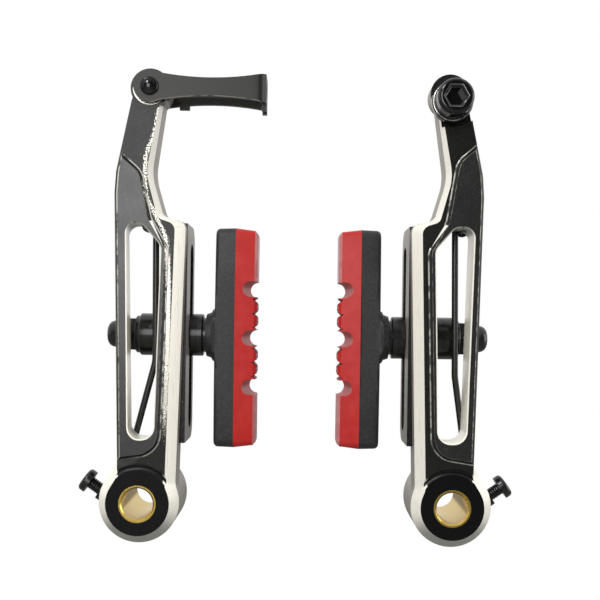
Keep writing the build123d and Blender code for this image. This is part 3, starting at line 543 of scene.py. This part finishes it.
# arms: black faces, bare milled bevels, window walls and hub ring, and a cut along the front edges with a
# painted edge highlight;
# x is inward from the stud, depth back from the front face and z up, in mm
armLook = {
    "bevelMm": 2.9, "depthMm": 8.3, "hubMm": 10.6, "platformMm": -0.9, "footMm": -0.2, "innerMm": 2.8,
    "windowX": (-4.7, 5.4), "windowZ": (16.3, 71.4), "slopeX": 4.0,
    "coveX": (-5.0, 6.5), "coveZ": (4.0, 10.8),
    "recess": {"x": 1.8, "z": 105.6, "radius": 8.9, "slack": 0.1},
    "draftMm": {"left": 0.8, "right": 0.0}, "draftDeepMm": 0.5, "draftSlackMm": 0.2,
    "brightCutMm": 0.2, "dullCutMm": 0.07, "cutDegrees": 20, "creaseDegrees": 3,
    "skinMm": 0.05, "bevelFromMm": 0.01,
    # how far a face turns to the front or inward, 0 to 1
    "flat": 0.95, "upright": 0.9, "bevelled": 0.03, "sloped": 0.1,
    "inner": 0.3, "frontish": 0.4, "exact": 0.9995,
}
armSlots = {"black": 0, "milled": 1, "polished": 2, "shadedForged": 3, "brightCutGlint": 4, "dullCutGlint": 5, "turned": 6}


def armTerms(point, side):
    return pivotMm - side * point.x / mm, point.y / mm - frontMm, point.z / mm


def within(value, span):
    return span[0] < value < span[1]


def armFinish(face, side, look):
    x, depth, z = armTerms(face.calc_center_median(), side)
    front, inward = -face.normal.y, -side * face.normal.x
    inWindow = within(x, look["windowX"]) and within(z, look["windowZ"])
    inCove = within(x, look["coveX"]) and within(z, look["coveZ"])
    onSlope = x > look["slopeX"] and inward > look["sloped"]
    upright = abs(front) < look["upright"]
    if inWindow and upright and depth < look["depthMm"] and not onSlope:
        return "milled"
    inBevel = within(depth, (look["bevelFromMm"], look["bevelMm"]))
    if inBevel and within(front, (look["bevelled"], look["upright"])) and not inCove:
        return "milled"
    # the inner sides take the greyer copy, partly painted shade
    if inward > look["inner"] and upright and depth > look["innerMm"]:
        return "shadedForged"
    if front > look["flat"] and math.hypot(x, z) < look["hubMm"]:
        return "turned"
    return "polished" if front > look["flat"] and depth < look["platformMm"] else "black"


# the window's outer wall leans: its front edge stands further in than its back edge
def leanWindow(work, hand, side, look):
    outer = look["windowX"][0]
    walls = [f for f in work.faces if f.material_index == armSlots["milled"]]
    for vert in {v for f in walls for v in f.verts}:
        x, depth, z = armTerms(vert.co, side)
        inWall = within(x, (outer - look["draftSlackMm"], 0)) and within(z, look["windowZ"])
        if inWall and depth < look["draftDeepMm"]:
            vert.co.x -= side * look["draftMm"][hand] * mm * x / outer


# front edges of the platform and of the recess round the clamp, those to take the bright painted edge
# highlight and those the dull one
def platformEdges(work, side, look):
    recess = look["recess"]
    bare = (armSlots["milled"], armSlots["shadedForged"])
    bright, dull = [], []
    for edge in sharpEdges(work, look["cutDegrees"]):
        x, depth, z = armTerms((edge.verts[0].co + edge.verts[1].co) / 2, side)
        onBare = any(f.material_index in bare for f in edge.link_faces)
        if depth > look["skinMm"] or onBare or math.hypot(x, z) < look["hubMm"]:
            continue
        fromRecess = abs(math.hypot(x - recess["x"], z - recess["z"]) - recess["radius"])
        if all(f.normal.y < -look["frontish"] for f in edge.link_faces):
            # the left arm's rim takes the bright painted highlight, where the light falls on that side
            leftRim = side < 0 and any(f.normal.x < -look["inner"] for f in edge.link_faces)
            (bright if leftRim or depth > look["footMm"] else dull).append(edge)
        elif side > 0 and fromRecess < recess["slack"] and abs(depth) < look["skinMm"]:
            dull.append(edge)
    return bright, dull


def makeArm(hand, side, look):
    node = f"{hand}_arm"
    piece, work = startPiece(node, f"{hand}ArmForging")
    for face in work.faces:
        face.material_index = armSlots[armFinish(face, side, look)]
    leanWindow(work, hand, side, look)
    bright, dull = platformEdges(work, side, look)
    cutEdges(work, bright, look["brightCutMm"], armSlots["brightCutGlint"])
    cutEdges(work, [e for e in dull if e.is_valid], look["dullCutMm"], armSlots["dullCutGlint"])
    for edge in sharpEdges(work, look["creaseDegrees"]):
        if sum(f.normal.y < -look["exact"] for f in edge.link_faces) == 1:
            edge.smooth = False
    # the left arm takes the copy with the painted highlight specks and crescent
    black = rubbedGlint if side < 0 else blasted
    finishes = [black, milled, polished, shadedForged, brightCutGlint, dullCutGlint, turned]
    endPiece(piece, work, finishes, node, node)


for hand, side in hands.items():
    makeArm(hand, side, armLook)
print("arms finished")

# the pad nut's end is flatter than its solid's dome, with a rounded rim
capLook = {"lengthMm": 3.5, "radiusMm": 3.65, "power": 3.2}
# the other fittings keep their solids' form and take their own finish
fittings = {
    "pivot_bush": {"name": "PivotBush", "body": "studs", "slot": "brass", "material": brass},
    "spring_holder": {"name": "SpringHolder", "body": "studs", "slot": "black_plastic", "material": nylon},
    "spring_stop": {"name": "SpringStop", "body": "arm"},
    "tension_screw": {"name": "TensionScrew", "body": "tension_screw"},
    "pad_post": {"name": "PadPost", "body": "pad"},
    "inner_cup_washer": {"name": "InnerCupWasher", "body": "pad_seat"},
    "inner_dome_washer": {"name": "InnerDomeWasher", "body": "pad_seat"},
    "outer_cup_washer": {"name": "OuterCupWasher", "body": "pad_seat"},
    "outer_dome_washer": {"name": "OuterDomeWasher", "body": "pad_seat"},
    "flat_washer": {"name": "FlatWasher", "body": "pad_seat"},
    "pad_nut": {"name": "PadNut", "body": "pad_seat", "cap": capLook},
}
# the link's lower edge and the clamp's rim are cut with a bright painted edge highlight, the bolt's mouth
# with a dull one, and the rivet's head is domed
singles = {
    "noodle_link": {"name": "noodleLinkSheet", "body": "noodle_link", "material": pressedSteel,
                    "cut": brightCutGlint, "cutMm": 0.14, "lowerOnly": True},
    "link_pin": {"name": "linkRivet", "body": "noodle_link", "material": polishedSteel, "domeMm": 0.5},
    "cable_clamp": {"name": "cableClampWasher", "body": "right_arm", "material": polishedSteel,
                    "cut": brightCutGlint, "cutMm": 0.1},
    "cable_bolt": {"name": "cableSocketBolt", "body": "right_arm", "material": polishedSteel,
                   "cut": dullCutGlint, "cutMm": 0.1},
}
# what counts as foremost and flat on them
frontLook = {"flat": 0.98, "cutDegrees": 20, "cutReachMm": 0.3, "downward": 0.5,
             "domeReachMm": 0.05, "domeRings": 6}


# edges of the foremost flat face, or only those whose other face looks down
def frontEdges(work, node, lowerOnly, look):
    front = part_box(node)[0][1]
    found = []
    for edge in sharpEdges(work, look["cutDegrees"]):
        turnedAway = [f for f in edge.link_faces if f.normal.y >= -look["flat"]]
        foremost = max(v.co.y for v in edge.verts) < front + look["cutReachMm"] * mm
        if len(turnedAway) == 1 and foremost:
            if not lowerOnly or turnedAway[0].normal.z < -look["downward"]:
                found.append(edge)
    return found


# swells the foremost flat face to a dome
def domeFront(work, node, riseMm, look):
    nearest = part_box(node)[0][1] + look["domeReachMm"] * mm
    flat = [f for f in work.faces if f.normal.y < -look["flat"] and max(v.co.y for v in f.verts) < nearest]
    edges = [e for f in flat for e in f.edges if sum(g in flat for g in e.link_faces) == 1]
    corners = list(dict.fromkeys(v for e in edges for v in e.verts))
    middle = sum((v.co for v in corners), Vector()) / len(corners)
    ring = sorted(corners, key=lambda v: math.atan2(v.co.z - middle.z, v.co.x - middle.x))
    bmesh.ops.delete(work, geom=flat, context="FACES_ONLY")
    base = [v.co.copy() for v in ring]
    for step in range(1, look["domeRings"]):
        share = 1 - step / look["domeRings"]
        lift = Vector((0, -riseMm * mm * (1 - share * share), 0))
        inner = [work.verts.new(middle + (at - middle) * share + lift) for at in base]
        for i in range(len(ring)):
            work.faces.new((ring[i - 1], ring[i], inner[i], inner[i - 1]))
        ring = inner
    top = work.verts.new(middle + Vector((0, -riseMm * mm, 0)))
    for i in range(len(ring)):
        work.faces.new((ring[i - 1], ring[i], top))
    bmesh.ops.recalc_face_normals(work, faces=work.faces)


# widens the rounded outer end of a nut, short of its bore
def squareCap(work, node, look):
    low, high = (Vector(corner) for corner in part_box(node))
    middle = (low + high) / 2
    side = math.copysign(1.0, middle.x)
    tip = max(side * low.x, side * high.x)
    for vert in work.verts:
        share = 1 - (tip - side * vert.co.x) / (look["lengthMm"] * mm)
        away = math.hypot(vert.co.y - middle.y, vert.co.z - middle.z)
        if 0 < share < 1 and away > 0:
            wide = look["radiusMm"] * mm * (1 - share ** look["power"]) ** (1 / look["power"])
            grow = max(wide / away, 1.0)
            vert.co.y = middle.y + (vert.co.y - middle.y) * grow
            vert.co.z = middle.z + (vert.co.z - middle.z) * grow


def makeFitting(node, name, body, look):
    piece, work = startPiece(node, name)
    materials = [look.get("material", blackSteel)]
    if "cap" in look:
        squareCap(work, node, look["cap"])
    if "cut" in look:
        edges = frontEdges(work, node, look.get("lowerOnly", False), frontLook)
        cutEdges(work, edges, look["cutMm"], len(materials))
        materials.append(look["cut"])
    if "domeMm" in look:
        domeFront(work, node, look["domeMm"], frontLook)
    endPiece(piece, work, materials, body, node)


for hand in hands:
    for node, look in fittings.items():
        body = look["body"] if look["body"] == "studs" else f"{hand}_{look['body']}"
        makeFitting(f"{hand}_{node}", hand + look["name"], body, look)
for node, look in singles.items():
    makeFitting(node, look["name"], look["body"], look)
print("fittings finished")

# pad carriers: the boss runs out into the carrier's flat faces, as a mould's flare does
carrierLook = {"flareMm": 1.6, "flat": 0.99, "sortMm": 0.1}


def makeCarrier(hand, side, look):
    node = f"{hand}_pad_carrier"
    piece, work = startPiece(node, hand + "PadCarrier")
    # the carrier's back is the plane with the largest area that faces outward
    backs = {}
    for face in work.faces:
        if side * face.normal.x > look["flat"]:
            at = round(face.calc_center_median().x / mm / look["sortMm"]) * look["sortMm"]
            backs[at] = backs.get(at, 0.0) + face.calc_area()
    back = max(backs, key=backs.get)
    for toward in (-1, 1):
        flat = [f for f in work.faces if toward * f.normal.y > look["flat"]]
        level = sum(f.calc_center_median().y * f.calc_area() for f in flat) / sum(f.calc_area() for f in flat)
        for vert in work.verts:
            over = toward * (vert.co.y - level)
            if over > 0:
                out = min(max(side * (vert.co.x / mm - back) / look["flareMm"], 0.0), 1.0)
                vert.co.y = level + toward * over * out * out * (3 - 2 * out)
    endPiece(piece, work, [blackRubber], f"{hand}_pad", node)


for hand, side in hands.items():
    makeCarrier(hand, side, carrierLook)
print("pad carriers finished")

# pad compounds: red, with the friction face and its lip scuffed on the end blocks, and crossed grooves on the
# two blocks between the notches
compoundLook = {"skinMm": 1.4, "facing": 0.4, "steep": 0.4, "treadMm": 11.0, "blockMm": 6.5,
                "crossMm": 1.85, "leanDegrees": 17.0, "deepMm": 1.4, "stepMm": 0.04, "halfMm": 0.5,
                "clearMm": 0.5, "reachMm": 9.0}
compoundSlots = {"red": 0, "scuffed": 1, "grooveShade": 2}


# wedges that lie across the friction face, two each way on each block, those of one way a little deeper
def grooveWedges(name, side, middle, look):
    lean = math.radians(look["leanDegrees"])
    half = look["halfMm"] * (look["deepMm"] + look["clearMm"]) / look["deepMm"] * mm
    points, faces = [], []
    for block, cross, slant in ((b, c, s) for b in (-1, 1) for c in (-1, 1) for s in (-1, 1)):
        deep = look["deepMm"] + slant * look["stepMm"]
        at = middle + Vector((0, 0, (block * look["blockMm"] + cross * look["crossMm"]) * mm))
        along = Vector((0, math.cos(lean), slant * math.sin(lean)))
        across = Vector((0, -slant * math.sin(lean), math.cos(lean)))
        a, b, c, d, e, f = range(len(points), len(points) + 6)
        for end in (-1, 1):
            line = at + along * end * look["reachMm"] * mm
            mouth = line - Vector((side * look["clearMm"] * mm, 0, 0))
            points += [line + Vector((side * deep * mm, 0, 0)), mouth + across * half, mouth - across * half]
        faces += [(a, b, c), (d, f, e), (a, d, e, b), (b, e, f, c), (c, f, d, a)]
    return newSolid(name, points, faces)


def cutAway(piece, work, cutter):
    work.to_mesh(piece.data)
    cut = piece.modifiers.new("tread", "BOOLEAN")
    cut.operation = "DIFFERENCE"
    cut.solver = "EXACT"
    cut.use_self = True
    cut.object = cutter
    shaped = bpy.data.meshes.new_from_object(piece.evaluated_get(bpy.context.evaluated_depsgraph_get()))
    piece.modifiers.remove(cut)
    bpy.data.objects.remove(cutter)
    work.clear()
    work.from_mesh(shaped)
    bmesh.ops.remove_doubles(work, verts=work.verts, dist=meshLook["weldMm"] * mm)
    bmesh.ops.dissolve_degenerate(work, edges=work.edges, dist=meshLook["weldMm"] * mm)
    bpy.data.meshes.remove(shaped)


def compoundFinish(face, side, middle, look):
    at = face.calc_center_median()
    if abs(at.x - middle.x) >= look["skinMm"] * mm:
        return "red"
    if abs(at.z - middle.z) < look["treadMm"] * mm:
        # the grooves' walls take the darker red: painted shade in the grooves
        return "grooveShade" if abs(face.normal.z) > look["steep"] else "red"
    return "scuffed" if -side * face.normal.x > look["facing"] else "red"


def makeCompound(hand, side, look):
    node = f"{hand}_pad_compound"
    low, high = (Vector(corner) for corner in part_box(node))
    middle = (low + high) / 2
    middle.x = high.x if side < 0 else low.x  # on the friction face
    piece, work = startPiece(node, hand + "PadCompound")
    cutAway(piece, work, grooveWedges(hand + "GrooveWedges", side, middle, look))
    for face in work.faces:
        face.material_index = compoundSlots[compoundFinish(face, side, middle, look)]
    endPiece(piece, work, [redRubber, scuffedRubber, shadedGrooveRubber], f"{hand}_pad", node)


for hand, side in hands.items():
    makeCompound(hand, side, compoundLook)
print("pad compounds finished")

# tension screws: the thread that shows between head and hub, as one raised helix
threadLook = {"at": (55.0, -13.0, 4.2), "fallDegrees": 35.0, "fromMm": 1.15, "toMm": 4.3, "pitchMm": 0.6,
              "rootMm": 1.45, "crestMm": 1.64, "flank": 0.4, "steps": 24}


def makeThread(hand, side, look):
    fall = math.radians(look["fallDegrees"])
    along = Vector((-side * math.cos(fall), 0, -math.sin(fall)))
    across = Vector((0, 1, 0))
    up = along.cross(across)
    start = Vector((side * look["at"][0], look["at"][1], look["at"][2]))
    count = int((look["toMm"] - look["fromMm"]) / look["pitchMm"] * look["steps"])
    profile = ((-look["flank"], look["rootMm"]), (0.0, look["crestMm"]), (look["flank"], look["rootMm"]))
    points, faces = [], []
    for i in range(count + 1):
        turn = 2 * math.pi * i / look["steps"]
        out = across * math.cos(turn) + up * math.sin(turn)
        middle = start + along * (look["fromMm"] + look["pitchMm"] * i / look["steps"])
        for shift, radius in profile:
            points.append((middle + along * shift * look["pitchMm"] + out * radius) * mm)
        if i:
            a, b = 3 * i - 3, 3 * i
            faces += [(a, a + 1, b + 1, b), (a + 1, a + 2, b + 2, b + 1), (a + 2, a, b, b + 2)]
    faces += [(0, 2, 1), (len(points) - 3, len(points) - 2, len(points) - 1)]
    thread = newSolid(hand + "ScrewThread", points, faces)
    thread.data.materials.append(blackSteel)
    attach(thread, f"{hand}_tension_screw")


for hand, side in hands.items():
    makeThread(hand, side, threadLook)
print("threads finished")


def makeSpring(hand):
    node = f"{hand}_return_spring"
    name = f"{hand}ReturnSpring"
    piece, work = startPiece(node, name)
    endPiece(piece, work, [blackSteel], None, node)
    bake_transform(piece)


for hand, side in hands.items():
    makeSpring(hand)
print("springs finished")
